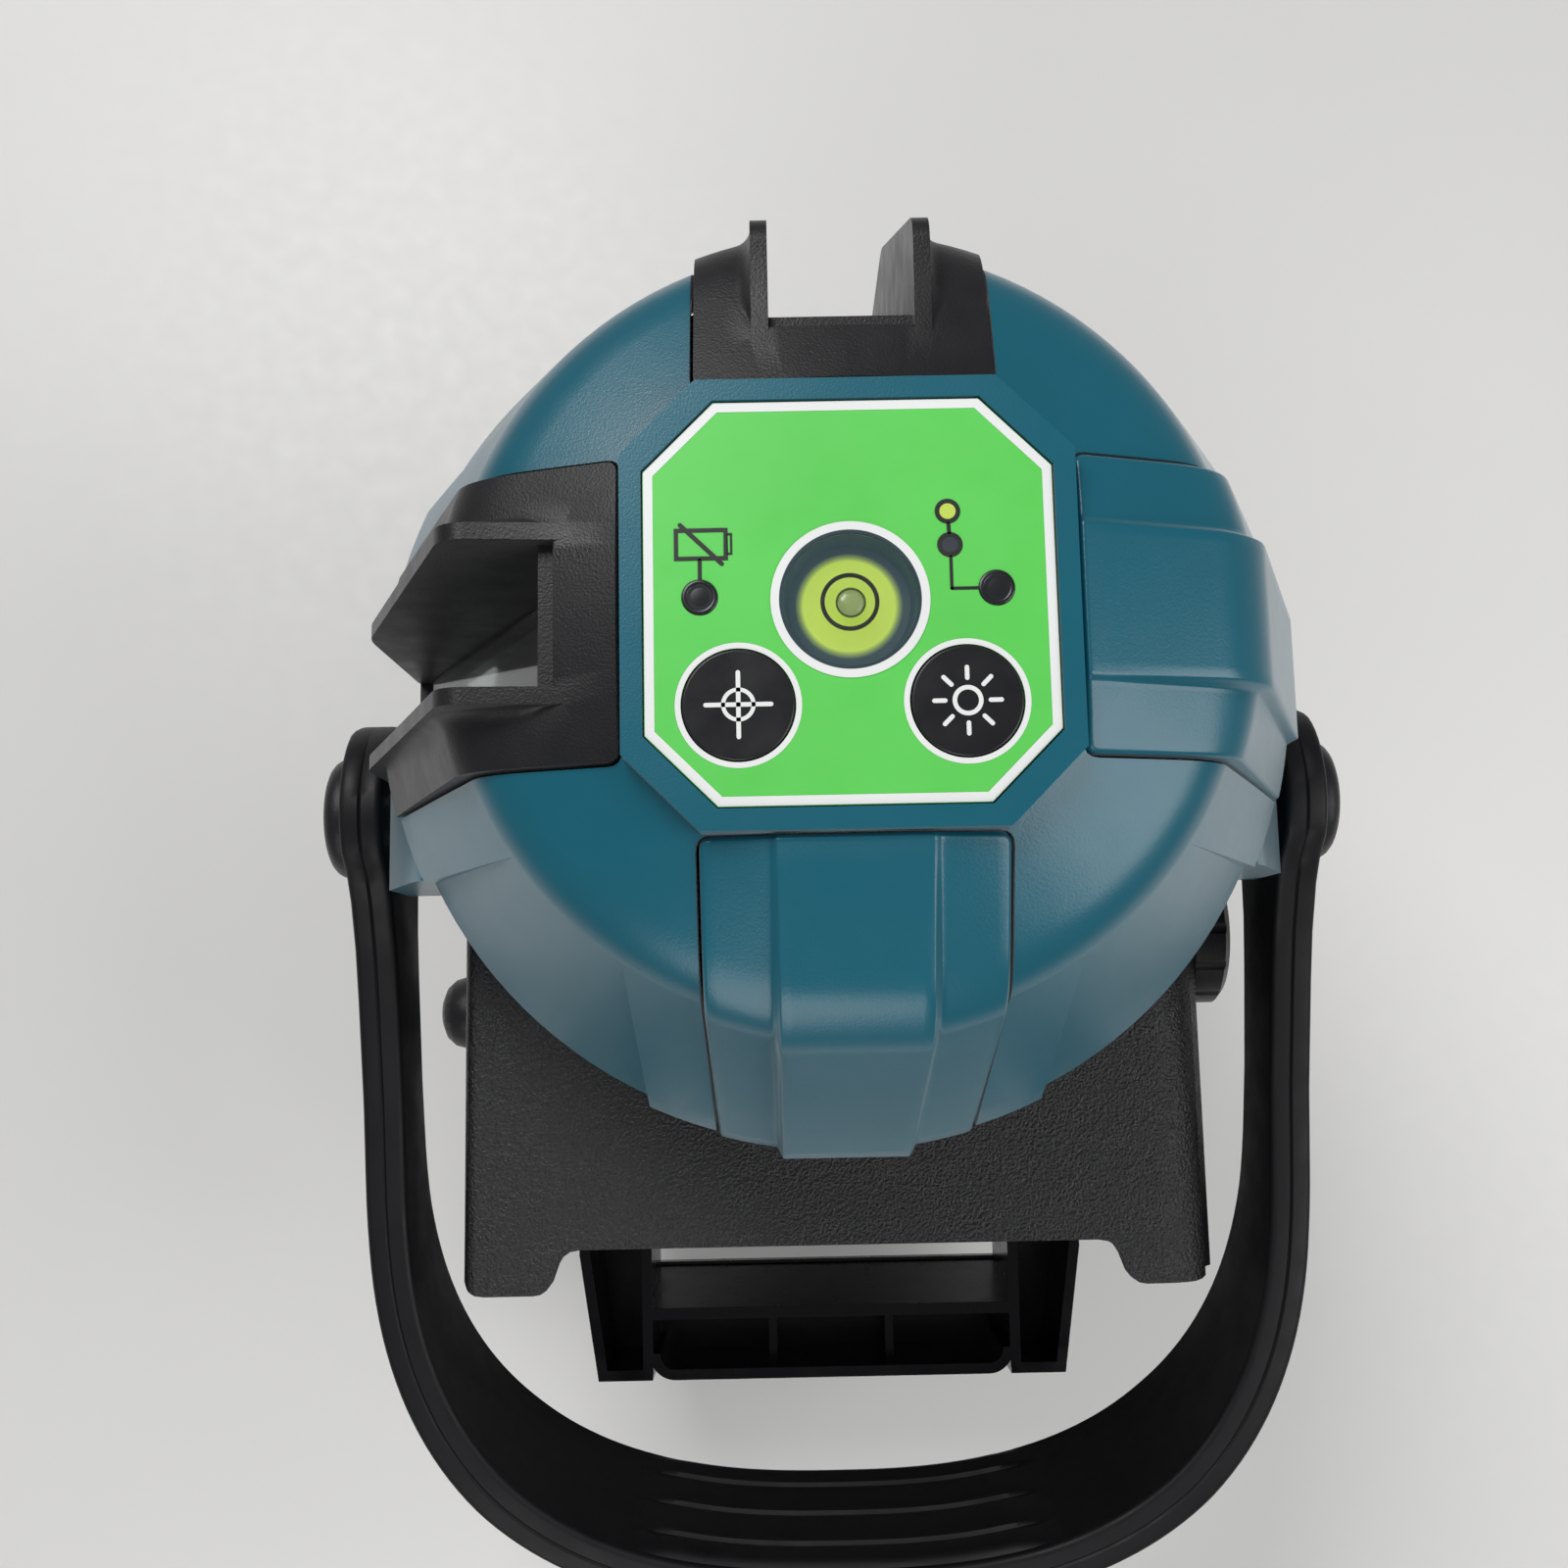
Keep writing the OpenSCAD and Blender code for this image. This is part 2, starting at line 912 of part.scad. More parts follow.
module worm_bracket() {
    foot_z = floor_z + 5;
    color(alloy)
        difference() {
            union() {
                for (x = [-14, 10]) {
                    translate([x, -49.3, foot_z + 2.2])
                        cube([4, 7.6, 31]);
                    translate([x, -47, foot_z])
                        cube([4, 5.3, 3]);
                }
                translate([-60, worm_pos[1] - 5, 42])
                    cube([3, 10, 16]);
            }
            along_x(-80, 120, 2 + run_gap, worm_pos[1], worm_pos[2]);
            translate([0, 0, 40])
                cylinder(r = wheel_r + 0.4, h = 20);
        }
}

// Screw head facing backwards with a cross recess
module cross_screw(x, y, z, r, length) {
    difference() {
        along_y(y, length, r, x, z);
        for (a = [45, 135])
            translate([x, y, z])
                rotate([0, a, 0])
                    cube([1.5 * r, 1.4, 0.35 * r], center = true);
    }
}

module body_screws() {
    color(steel)
        both_sides() {
            for (z = [70, 100])
                cross_screw(48, -60.3, z, 2.6, 1.8);
            cross_screw(30, -59.2, 42, 2.4, 1.2);
        }
}

// ---- handle: hinged on the two ears ----

// Outline of the loop seen from above, grown or shrunk, with +Y along the handle
module handle_plan(grow = 0) {
    half = arm_out + grow;
    bow = handle_len - bow_start + grow;
    soft = 2 / bow_power;
    polygon(concat(
        [[half, -30]],
        [for (t = [0 : 5 : 180])
            [half * sign(cos(t)) * pow(abs(cos(t)), soft), bow_start + bow * pow(sin(t), soft)]],
        [[-half, -30]]
    ));
}

// Height of the strap along its length, seen from the side
strap_half = concat(
    curve([6, 12.1], [14, 9], [28, 7.8], 5),
    [[45, 7.4], [56, 8], [66, 8.9], [78, 10.8], [92, 13]],
    [[106, 15.2], [118, 16.2], [handle_len + 1, 16.2]]
);

// Puts a shape drawn with +Y along the folded handle and its pivot at the origin where it belongs
module folded() {
    translate([0, -pivot_y, pivot_z])
        rotate([fold_angle, 0, 0])
            mirror([0, 1, 0])
                children();
}

module handle() {
    color(black)
        folded()
            difference() {
                intersection() {
                    translate([0, 0, -20])
                        linear_extrude(40)
                            difference() {
                                handle_plan();
                                handle_plan(-strap_t);
                            }
                    union() {
                        along_x(-100, 200, paddle_r);
                        side_slab(-100, 200)
                            polygon(concat(strap_half, [for (i = [len(strap_half) - 1 : -1 : 0])
                                [strap_half[i][0], -strap_half[i][1]]]));
                    }
                }
                along_x(-100, 200, pin_r + run_gap);
            }
}

// Soft pad along the inside of the loop, with three grooves
module handle_grip() {
    pad = 1.2;
    groove_gap = 9;
    half_len = 36;
    half_h = 15;
    color(dark_rubber)
        folded()
            difference() {
                intersection() {
                    translate([0, 0, -half_h])
                        linear_extrude(2 * half_h)
                            difference() {
                                handle_plan(-strap_t);
                                handle_plan(-strap_t - pad);
                            }
                    translate([-half_len, 80, -half_h])
                        cube([2 * half_len, 60, 2 * half_h]);
                }
                for (z = [-groove_gap, 0, groove_gap])
                    translate([0, 0, z - 0.6])
                        linear_extrude(1.2)
                            handle_plan(-strap_t - 0.5);
            }
}

// ---- lock: dial, shaft and the slide that it drives ----

module lock_dial() {
    x0 = roof_half + 0.6;
    color(black)
        difference() {
            translate([x0, dial_pos[1], dial_pos[2]])
                rotate([0, 90, 0])
                    rotate_extrude()
                        polygon([[0, 0], [12.3, 0], [12.3, 4.8], [11, 5.9], [4, 5.9], [4, 5], [0, 5]]);
            for (a = [0 : 30 : 330])
                translate([x0 - 1, dial_pos[1], dial_pos[2]])
                    rotate([a, 0, 0])
                        translate([0, 0, 13.6])
                            rotate([0, 90, 0])
                                cylinder(r = 1.6, h = 8);
        }
}

module lock_shaft() {
    color(steel)
        union() {
            along_x(32, roof_half + 0.6 - 32, 2.5, dial_pos[1], dial_pos[2]);
            along_x(30, 3, 6, dial_pos[1], dial_pos[2]);
        }
}

module lock_slider() {
    color([0.9, 0.9, 0.88])
        difference() {
            union() {
                translate([24.5, -34, 94.5])
                    cube([3, 37, 5]);
                translate([15.6, -3, 95])
                    cube([10, 6, 4]);
                along_x(22, 6, 3, -26, dial_pos[2]);
            }
            along_x(10, 40, 1.5 + run_gap, -26, dial_pos[2]);
        }
}

// ---- fine adjustment ----

module fine_knob() {
    color(black)
        translate([-77, worm_pos[1], worm_pos[2]])
            rotate([0, 90, 0])
                rotate_extrude()
                    polygon([
                        [0, 0], [3, 0.25], [5.2, 1.2], [6.6, 2.8], [7.3, 5.2], [7.4, 8],
                        [7.4, 12], [6.6, 15], [0, 15]
                    ]);
}

module worm_shaft() {
    color(steel)
        union() {
            along_x(-62, 78, 2, worm_pos[1], worm_pos[2]);
            for (i = [-4 : 4])
                translate([i * 2, worm_pos[1], worm_pos[2]])
                    rotate([0, 90, 0])
                        rotate_extrude()
                            polygon([[0, -0.7], [worm_r - 1.6, -0.7], [worm_r, -0.3],
                                [worm_r, 0.3], [worm_r - 1.6, 0.7], [0, 0.7]]);
        }
}

// ---- gimbal and pendulum ----

module gimbal_ring() {
    color(alloy)
        difference() {
            ring(24.5, 19.5, gimbal_z - 3, 6);
            along_y(-30, 60, tilt_axis_r, 0, gimbal_z);
            along_x(-30, 60, tilt_axis_r, 0, gimbal_z);
        }
}

module gimbal_pins() {
    color(steel)
        both_sides()
            along_x(20, 13, gimbal_pin_r, 0, gimbal_z);
}

module pendulum_stem() {
    color(alloy)
        union() {
            translate([-5, -14, gimbal_z - 5])
                cube([10, 28, 10]);
            translate([0, 0, 84])
                cylinder(r = 4, h = gimbal_z - 88);
            translate([-8, -8, 124])
                cube([16, 16, 34]);
        }
}

module pendulum_pins() {
    color(steel)
        for (s = [0, 180])
            rotate([0, 0, s])
                along_y(14, 9.5, gimbal_pin_r, 0, gimbal_z);
}

// A laser module drawn along +Y: barrel, nose and line lens
module laser_module(z) {
    difference() {
        union() {
            along_y(8, 18, 6.5, 0, z);
            along_y(26, 4, 5, 0, z);
        }
        along_y(29, 4, 3, 0, z);
    }
}

module front_laser() {
    color(brass)
        laser_module(150);
}

module left_laser() {
    color(brass)
        rotate([0, 0, left_turn])
            laser_module(150);
}

module horizontal_laser() {
    color(brass)
        laser_module(132);
}

// Counterweights screwed into the laser block opposite the modules
module balance_screws() {
    color(steel) {
        along_y(-25, 17, 6, 0, 141);
        along_x(8, 16, 4.5, 0, 141);
    }
}

module pendulum_bob() {
    color(brass)
        difference() {
            translate([0, 0, 66])
                cylinder(r = 16, h = 18);
            translate([0, 0, 60])
                cylinder(r = 3, h = 12);
        }
}

module damping_magnets() {
    color(steel)
        for (a = [45 : 90 : 315])
            rotate([0, 0, a])
                translate([11, 0, 63])
                    cylinder(r = 3.5, h = 3);
}

base_plate();
rubber_feet();
tripod_insert();
spindle();
fine_wheel();
bearing_washer();
angle_ring();
chassis_floor();
chassis_frame();
front_shell();
rear_shell();
battery_bay();
battery_rails();
terminal_block();
terminal_blades();
battery_tray();
head_shell();
rim_seal();
control_panel();
status_lights();
key_board();
vial_cup();
vial_liquid();
vial_lens();
front_window_housing();
left_window_housing();
front_glass();
left_glass();
front_gasket();
left_gasket();
right_cover();
rear_cover();
pivot_pins();
pivot_caps();
pivot_washers();
main_board();
board_parts();
damping_plate();
lock_guide();
worm_bracket();
body_screws();
line_button();
light_button();
handle();
handle_grip();
lock_dial();
lock_shaft();
lock_slider();
fine_knob();
worm_shaft();
gimbal_ring();
gimbal_pins();
pendulum_stem();
pendulum_pins();
front_laser();
left_laser();
horizontal_laser();
balance_screws();
pendulum_bob();
damping_magnets();
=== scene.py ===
"""Looks of the self-levelling laser level: finishes, soft edges, panel print, vial and handle.

Lengths in this script are in millimetres and in the row frame, and MM turns them into metres.
"""

import math

import bmesh
import bpy
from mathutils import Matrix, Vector


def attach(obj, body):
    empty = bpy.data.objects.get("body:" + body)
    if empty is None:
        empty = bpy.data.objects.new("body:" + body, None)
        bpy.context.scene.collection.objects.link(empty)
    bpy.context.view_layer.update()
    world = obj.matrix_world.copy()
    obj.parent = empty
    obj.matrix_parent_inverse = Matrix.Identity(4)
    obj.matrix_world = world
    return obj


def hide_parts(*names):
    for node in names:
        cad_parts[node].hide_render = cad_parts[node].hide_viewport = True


MM = 0.001

# camera
CAMERA_AT = (-8.5, -43.8, 373.3)
CAMERA_TURN = (7.78, -0.09, -1.14)
CAMERA_LENS = 36.18

# panel print
PANEL_TOP = 203.0
PANEL_HALF = 22.9
PANEL_CUT = 7.95
PRINT_SUNK = 0.02
PRINT_RISE = 0.07
BORDER = 1.06
BORDER_CUT = 0.586 * BORDER
BUTTON_TOP = 203.3
BUTTON_RISE = 0.05
BUTTON_AT = ((-12.6, -11.7), (12.6, -11.7))
BUTTON_RING = (7.0, 6.36)
LIGHT_AT = ((-16.7, 0.5), (16.3, 1.0))
MODE_AT = ((11.1, 9.85), (11.25, 6.0))
MODE_RING = (1.43, 0.91)
MODE_DOT_R = 0.93
SIGN_LINE = 0.5

# bullseye vial, centred on the panel
VIAL_RING_R = 8.87
VIAL_WALL_R = 7.92
VIAL_MOUTH_R = 7.55
TARGET_RING = (3.3, 2.82)
BUBBLE_AT = (0.1, -0.1)
BUBBLE_RIM = (1.7, 1.5)

# dome outside as (radius, height): crown, round shoulder and flank down to the rim
RIM_Z = 152.2
CROWN_START = (24.0, 203.1)
CROWN_END = (41.0, 197.0)
SHOULDER_CORNER = (47.6, 194.8)
SHOULDER_END = (49.2, 191.0)
FLANK_END = (64.5, RIM_Z + 0.6)

# window housings and covers, drawn at the front with the radius along +Y
COVER_START = 26.15
COVER_HALF = 17.3
COVER_CORNER = 1.3
COVER_EDGE = 0.55
COVER_T = 2.4
BLOCK_START = 28.6
BLOCK_HALF = 9.6
BLOCK_SIDE = 1.1
BLOCK_GROWTH = 16.0
BLOCK_UP = 1.4
BLOCK_FLANK = (0.9, 0.3)
FIN_ROOT = 10.5
COVE = 1.7
TURNS = {"front": 0.0, "left": 90.0, "rear": 180.0, "right": -90.0}

# handle, folded
PIVOT = (-13.8, 122.5)
ARM_OUT = 75.0
STRAP_T = 6.5
STRAP_CORNER = 1.1
PARTING_DEPTH = 0.28
PARTING_HALF = 0.3
HANDLE_REACH = 125.0
BOW_START = 54.0
BOW_POWER = 2.6
PADDLE_R = 14.6
FOLD = math.radians(12.5)

# grip pad in the bow: its half length, its swell and one groove as (across, depth)
PAD_HALF = 38.0
PAD_SWELL = 1.15
PAD_EDGE = ((14.9, 0.0), (14.4, 0.7), (13.2, PAD_SWELL))
PAD_BACK = 1.5
GROOVE_AT = (-9.0, 0.0, 9.0)
GROOVE = ((-1.5, 0.0), (-0.8, 0.2), (-0.35, 0.8), (0.35, 0.8), (0.8, 0.2), (1.5, 0.0))


# ---- small tools ----


def circle(radius, count=64, centre=(0.0, 0.0)):
    """Points round a circle in the plane."""
    return [
        (
            centre[0] + radius * math.cos(2 * math.pi * i / count),
            centre[1] + radius * math.sin(2 * math.pi * i / count),
        )
        for i in range(count)
    ]


def octagon(half, cut):
    """Corners of a square of that half width whose corners are cut."""
    inner = half - cut
    return [
        (half, inner), (inner, half), (-inner, half), (-half, inner),
        (-half, -inner), (-inner, -half), (inner, -half), (half, -inner),
    ]


def rectangle(x0, y0, x1, y1):
    """Corners of an upright rectangle."""
    return [(x0, y0), (x1, y0), (x1, y1), (x0, y1)]


def stroke(start, end, width, steps=6):
    """Outline of a straight line with round ends."""
    heading = math.atan2(end[1] - start[1], end[0] - start[0])
    points = []
    for centre, turn in ((end, -0.5), (start, 0.5)):
        for i in range(steps + 1):
            angle = heading + math.pi * (turn + i / steps)
            points.append(
                (
                    centre[0] + 0.5 * width * math.cos(angle),
                    centre[1] + 0.5 * width * math.sin(angle),
                )
            )
    return points


def at_height(points, z):
    """Points of the plane, lifted to a height."""
    return [(x, y, z) for x, y in points]


def smooth_step(value, low, high):
    """Runs from 0 at low to 1 at high, level at both ends."""
    share = min(1.0, max(0.0, (value - low) / (high - low)))
    return share * share * (3 - 2 * share)


def corner_drop(inset, radius):
    """How far a round corner lies inside its straight edge, at an inset from the corner's start."""
    if inset >= radius:
        return 0.0
    return radius - math.sqrt(max(0.0, radius**2 - (radius - inset) ** 2))


class Shape:
    """Collects closed solids, each made of rings of points, for one piece."""

    def __init__(self):
        self.points = []
        self.faces = []

    def loft(self, rings, wrap=False):
        """Joins rings of equal length into a skin. Wrapped, the last ring meets the first."""
        first = len(self.points)
        count = len(rings[0])
        for ring in rings:
            self.points.extend(ring)
        pairs = len(rings) if wrap else len(rings) - 1
        for k in range(pairs):
            a = first + k * count
            b = first + (k + 1) % len(rings) * count
            for i in range(count):
                j = (i + 1) % count
                self.faces.append((a + i, a + j, b + j, b + i))
        if not wrap:
            self.faces.append(tuple(range(first + count - 1, first - 1, -1)))
            last = first + (len(rings) - 1) * count
            self.faces.append(tuple(range(last, last + count)))
        return self

    def slab(self, outline, z0, z1):
        """A flat plate between two heights."""
        return self.loft([at_height(outline, z0), at_height(outline, z1)])

    def band(self, outer, inner, z0, z1):
        """A closed flat ring between two outlines."""
        return self.loft(
            [at_height(outer, z0), at_height(outer, z1), at_height(inner, z1), at_height(inner, z0)],
            wrap=True,
        )

    def turned(self, profile, centre=(0.0, 0.0), count=64):
        """A solid of revolution about an upright axis. Profile runs from the bottom to the top."""
        return self.loft([at_height(circle(r, count, centre), z) for r, z in profile])

    def piece(self, name, body, material, smooth_angle=None, slot=None):
        """Makes the object, in metres, and lets it ride on a body."""
        mesh = bpy.data.meshes.new(name)
        mesh.from_pydata([Vector(p) * MM for p in self.points], [], self.faces)
        work = bmesh.new()
        work.from_mesh(mesh)
        bmesh.ops.remove_doubles(work, verts=work.verts, dist=1e-7)
        bmesh.ops.recalc_face_normals(work, faces=work.faces)
        work.to_mesh(mesh)
        work.free()
        if smooth_angle is not None:
            mesh.polygons.foreach_set("use_smooth", [True] * len(mesh.polygons))
            mesh.set_sharp_from_angle(angle=math.radians(smooth_angle))
        mesh.materials.append(material)
        made = bpy.data.objects.new(name, mesh)
        bpy.context.scene.collection.objects.link(made)
        if body:
            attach(made, body)
        return made


# ---- finishes ----


def shaded(colour, factor):
    """A lighter or darker colour, with its alpha."""
    return (*[min(1.0, c * factor) for c in colour], 1.0)


def noise(tree, size, detail=2.0, stretch=None):
    """Noise whose features are about size millimetres across."""
    place = tree.nodes.new("ShaderNodeTexCoord")
    pattern = tree.nodes.new("ShaderNodeTexNoise")
    pattern.inputs["Scale"].default_value = 1000.0 / size
    pattern.inputs["Detail"].default_value = detail
    source = place.outputs["Object"]
    if stretch:
        mapping = tree.nodes.new("ShaderNodeMapping")
        mapping.inputs["Scale"].default_value = stretch
        tree.links.new(source, mapping.inputs["Vector"])
        source = mapping.outputs["Vector"]
    tree.links.new(source, pattern.inputs["Vector"])
    return pattern.outputs["Fac"]


def ramp(tree, source, stops):
    """Colour ramp through (position, colour) stops."""
    band = tree.nodes.new("ShaderNodeValToRGB")
    elements = band.color_ramp.elements
    while len(elements) < len(stops):
        elements.new(0.5)
    for element, (position, colour) in zip(elements, stops):
        element.position = position
        element.color = colour
    tree.links.new(source, band.inputs["Fac"])
    return band.outputs["Color"]


def spread(tree, source, low, high):
    """Maps the middle of a noise onto the range from low to high."""
    span = tree.nodes.new("ShaderNodeMapRange")
    span.inputs["From Min"].default_value = 0.3
    span.inputs["From Max"].default_value = 0.7
    span.inputs["To Min"].default_value = low
    span.inputs["To Max"].default_value = high
    tree.links.new(source, span.inputs["Value"])
    return span.outputs["Result"]


def bumped(tree, source, depth):
    """Surface grain of a depth in millimetres."""
    bump = tree.nodes.new("ShaderNodeBump")
    bump.inputs["Strength"].default_value = 1.0
    bump.inputs["Distance"].default_value = depth * MM
    tree.links.new(source, bump.inputs["Height"])
    return bump.outputs["Normal"]


def blank(name):
    """A new material with its node tree and its shader."""
    material = bpy.data.materials.new(name)
    material.use_nodes = True
    return material, material.node_tree, material.node_tree.nodes["Principled BSDF"]


def finish(
    name, colour, rough, grain=0.4, depth=0.02, metal=0.0, shade=0.06, blotch=14.0,
    rough_span=0.06, stretch=None, specular=0.5, sheen=0.0,
):
    """A moulded, turned or painted surface: mottled colour, uneven gloss and a fine grain."""
    material, tree, shader = blank(name)
    colours = ramp(
        tree,
        noise(tree, blotch, 3.0),
        [(0.3, shaded(colour, 1 - shade)), (0.7, shaded(colour, 1 + shade))],
    )
    tree.links.new(colours, shader.inputs["Base Color"])
    gloss = spread(tree, noise(tree, 5.0, 3.0), rough - rough_span, rough + rough_span)
    tree.links.new(gloss, shader.inputs["Roughness"])
    texture = bumped(tree, noise(tree, grain, 2.0, stretch), depth)
    tree.links.new(texture, shader.inputs["Normal"])
    shader.inputs["Metallic"].default_value = metal
    shader.inputs["Specular IOR Level"].default_value = specular
    shader.inputs["Sheen Weight"].default_value = sheen
    shader.inputs["Sheen Roughness"].default_value = 0.35
    return material


def glass(name, colour, rough):
    """Clear plastic or glass with faint smears."""
    material, tree, shader = blank(name)
    shader.inputs["Transmission Weight"].default_value = 1.0
    shader.inputs["IOR"].default_value = 1.45
    smear = spread(tree, noise(tree, 6.0, 4.0), rough, rough + 0.05)
    tree.links.new(smear, shader.inputs["Roughness"])
    tint = ramp(
        tree, noise(tree, 9.0), [(0.3, shaded(colour, 0.97)), (0.7, shaded(colour, 1.0))]
    )
    tree.links.new(tint, shader.inputs["Base Color"])
    return material


def pool_with_painted_glow(name, rings):
    """The vial seen from above: colours by distance from its axis, with a fine haze and a painted glow
    in the same colours.
    """
    material, tree, shader = blank(name)
    place = tree.nodes.new("ShaderNodeTexCoord")
    flat = tree.nodes.new("ShaderNodeVectorMath")
    flat.operation = "MULTIPLY"
    flat.inputs[1].default_value = (1.0, 1.0, 0.0)
    tree.links.new(place.outputs["Object"], flat.inputs[0])
    length = tree.nodes.new("ShaderNodeVectorMath")
    length.operation = "LENGTH"
    tree.links.new(flat.outputs["Vector"], length.inputs[0])
    reach = rings[-1][0]
    share = tree.nodes.new("ShaderNodeMapRange")
    share.inputs["From Max"].default_value = reach * MM
    tree.links.new(length.outputs["Value"], share.inputs["Value"])
    colours = ramp(
        tree, share.outputs["Result"], [(r / reach, (*colour, 1.0)) for r, colour in rings]
    )
    tree.links.new(colours, shader.inputs["Base Color"])
    # painted glow: the same colours are also emitted, so the pool shines though it is no lamp
    tree.links.new(colours, shader.inputs["Emission Color"])
    shader.inputs["Emission Strength"].default_value = 0.5
    gloss = spread(tree, noise(tree, 4.0), 0.3, 0.45)
    tree.links.new(gloss, shader.inputs["Roughness"])
    return material


TEAL = finish(
    "teal plastic", (0.0003, 0.104, 0.152), 0.29, grain=0.3, depth=0.018, shade=0.03,
    specular=0.6, sheen=0.28, rough_span=0.015,
)
BLACK = finish(
    "black plastic", (0.009, 0.009, 0.010), 0.42, grain=0.3, depth=0.05, specular=0.4, sheen=0.14
)
# strong fine speckle (shade 0.45 at 0.5 mm): random tone of the grain, and painted glints standing in
# for its sparkle
COARSE_WITH_PAINTED_GLINTS = finish(
    "coarse black plastic with painted glints", (0.010, 0.010, 0.011), 0.40, grain=0.46, depth=0.32, shade=0.45,
    blotch=0.5, specular=0.5,
)
GLOSS_BLACK = finish(
    "gloss black plastic", (0.004, 0.004, 0.005), 0.24, grain=1.2, depth=0.008, specular=0.3
)
STRAP = finish("handle elastomer", (0.005, 0.005, 0.006), 0.5, grain=0.6, depth=0.015, specular=0.28)
RUBBER = finish("rubber", (0.014, 0.014, 0.014), 0.75, grain=0.5, depth=0.03)
ALLOY = finish("alloy", (0.62, 0.63, 0.65), 0.35, grain=0.4, depth=0.01, metal=1.0)
STEEL = finish(
    "steel", (0.56, 0.56, 0.58), 0.26, grain=0.25, depth=0.006, metal=1.0, stretch=(1.0, 1.0, 8.0)
)
BRASS = finish("brass", (0.72, 0.52, 0.20), 0.3, grain=0.3, depth=0.006, metal=1.0)
COPPER = finish("copper", (0.78, 0.36, 0.22), 0.35, grain=0.4, depth=0.008, metal=1.0)
WHITE = finish("white print", (0.82, 0.83, 0.81), 0.4, grain=0.7, depth=0.004, shade=0.02)
GREEN = finish("green label", (0.11, 0.62, 0.095), 0.38, grain=0.9, depth=0.006, shade=0.03)
INK = finish("black print", (0.012, 0.014, 0.012), 0.4, grain=0.7, depth=0.004)
LIME_INK = finish("yellow-green print", (0.52, 0.66, 0.09), 0.4, grain=0.7, depth=0.004)
GREY_INK = finish("dark grey print", (0.03, 0.035, 0.045), 0.4, grain=0.7, depth=0.004)
DEEP_INK = finish("vial edge", (0.02, 0.045, 0.055), 0.35, grain=0.7, depth=0.004)
KEY_FACE = finish("button face", (0.008, 0.008, 0.009), 0.3, grain=1.0, depth=0.006)
SMOKED = finish("smoked lens", (0.010, 0.011, 0.013), 0.3, grain=1.5, depth=0.003)
BOARD = finish("circuit board", (0.01, 0.10, 0.035), 0.4, grain=2.5, depth=0.02, shade=0.3, blotch=3.0)
TERMINAL = finish("terminal plastic", (0.50, 0.42, 0.06), 0.45)
VIAL_RING = finish("bubble rim", (0.10, 0.16, 0.03), 0.2, grain=1.0, depth=0.003)
BUBBLE = finish("bubble", (0.60, 0.70, 0.26), 0.15, grain=1.0, depth=0.003)
CLEAR = glass("clear lens", (0.92, 0.96, 0.95), 0.02)
WINDOW = glass("window glass", (0.42, 0.47, 0.46), 0.02)
# vial pool colours by radius, which also glow with painted light from the pool's emission
POOL_WITH_PAINTED_GLOW = pool_with_painted_glow(
    "vial pool with painted glow",
    [
        (0.0, (0.58, 0.74, 0.10)),
        (5.2, (0.60, 0.76, 0.11)),
        (5.65, (0.24, 0.33, 0.10)),
        (6.1, (0.035, 0.07, 0.085)),
        (7.5, (0.028, 0.06, 0.080)),
        (7.8, (0.05, 0.09, 0.09)),
    ],
)
FLOOR = finish(
    "pale floor", (0.82, 0.81, 0.79), 0.5, grain=3.0, depth=0.01, shade=0.015, blotch=150.0
)

NODE_FINISH = {
    TEAL: ("head_shell", "right_cover", "rear_cover"),
    BLACK: (
        "base_plate", "front_shell", "rear_shell", "battery_rails", "pivot_caps", "board_parts",
        "lock_dial", "fine_knob", "front_window_housing", "left_window_housing",
    ),
    COARSE_WITH_PAINTED_GLINTS: ("battery_bay",),
    GLOSS_BLACK: ("battery_tray",),
    RUBBER: ("rubber_feet", "rim_seal", "front_gasket", "left_gasket"),
    ALLOY: (
        "angle_ring", "chassis_floor", "chassis_frame", "worm_bracket", "gimbal_ring",
        "pendulum_stem", "front_laser", "left_laser", "horizontal_laser",
    ),
    STEEL: (
        "spindle", "pivot_pins", "pivot_washers", "lock_guide", "body_screws", "lock_shaft",
        "worm_shaft", "gimbal_pins", "pendulum_pins", "balance_screws", "damping_magnets",
    ),
    BRASS: ("tripod_insert", "fine_wheel", "terminal_blades", "pendulum_bob"),
    COPPER: ("damping_plate",),
    WHITE: ("bearing_washer", "vial_cup", "lock_slider"),
    GREEN: ("control_panel",),
    SMOKED: ("status_lights",),
    BOARD: ("key_board", "main_board"),
    TERMINAL: ("terminal_block",),
    KEY_FACE: ("line_button", "light_button"),
    CLEAR: ("vial_lens",),
    WINDOW: ("front_glass", "left_glass"),
}

# bevel width of the CAD pieces that get soft edges
EDGE_WIDTH = {
    "base_plate": 0.6, "front_shell": 0.4, "rear_shell": 0.4, "battery_bay": 0.7,
    "battery_rails": 0.4, "terminal_block": 0.3, "terminal_blades": 0.15, "battery_tray": 0.45,
    "head_shell": 0.35, "control_panel": 0.12, "status_lights": 0.4, "vial_cup": 0.12,
    "pivot_caps": 0.3, "pivot_washers": 0.2, "line_button": 0.25, "light_button": 0.25,
    "lock_dial": 0.5, "fine_knob": 0.4, "rubber_feet": 0.5, "body_screws": 0.3,
    "angle_ring": 0.2, "tripod_insert": 0.3, "front_glass": 0.2, "left_glass": 0.2,
    "front_window_housing": 0.5, "left_window_housing": 0.5,
}


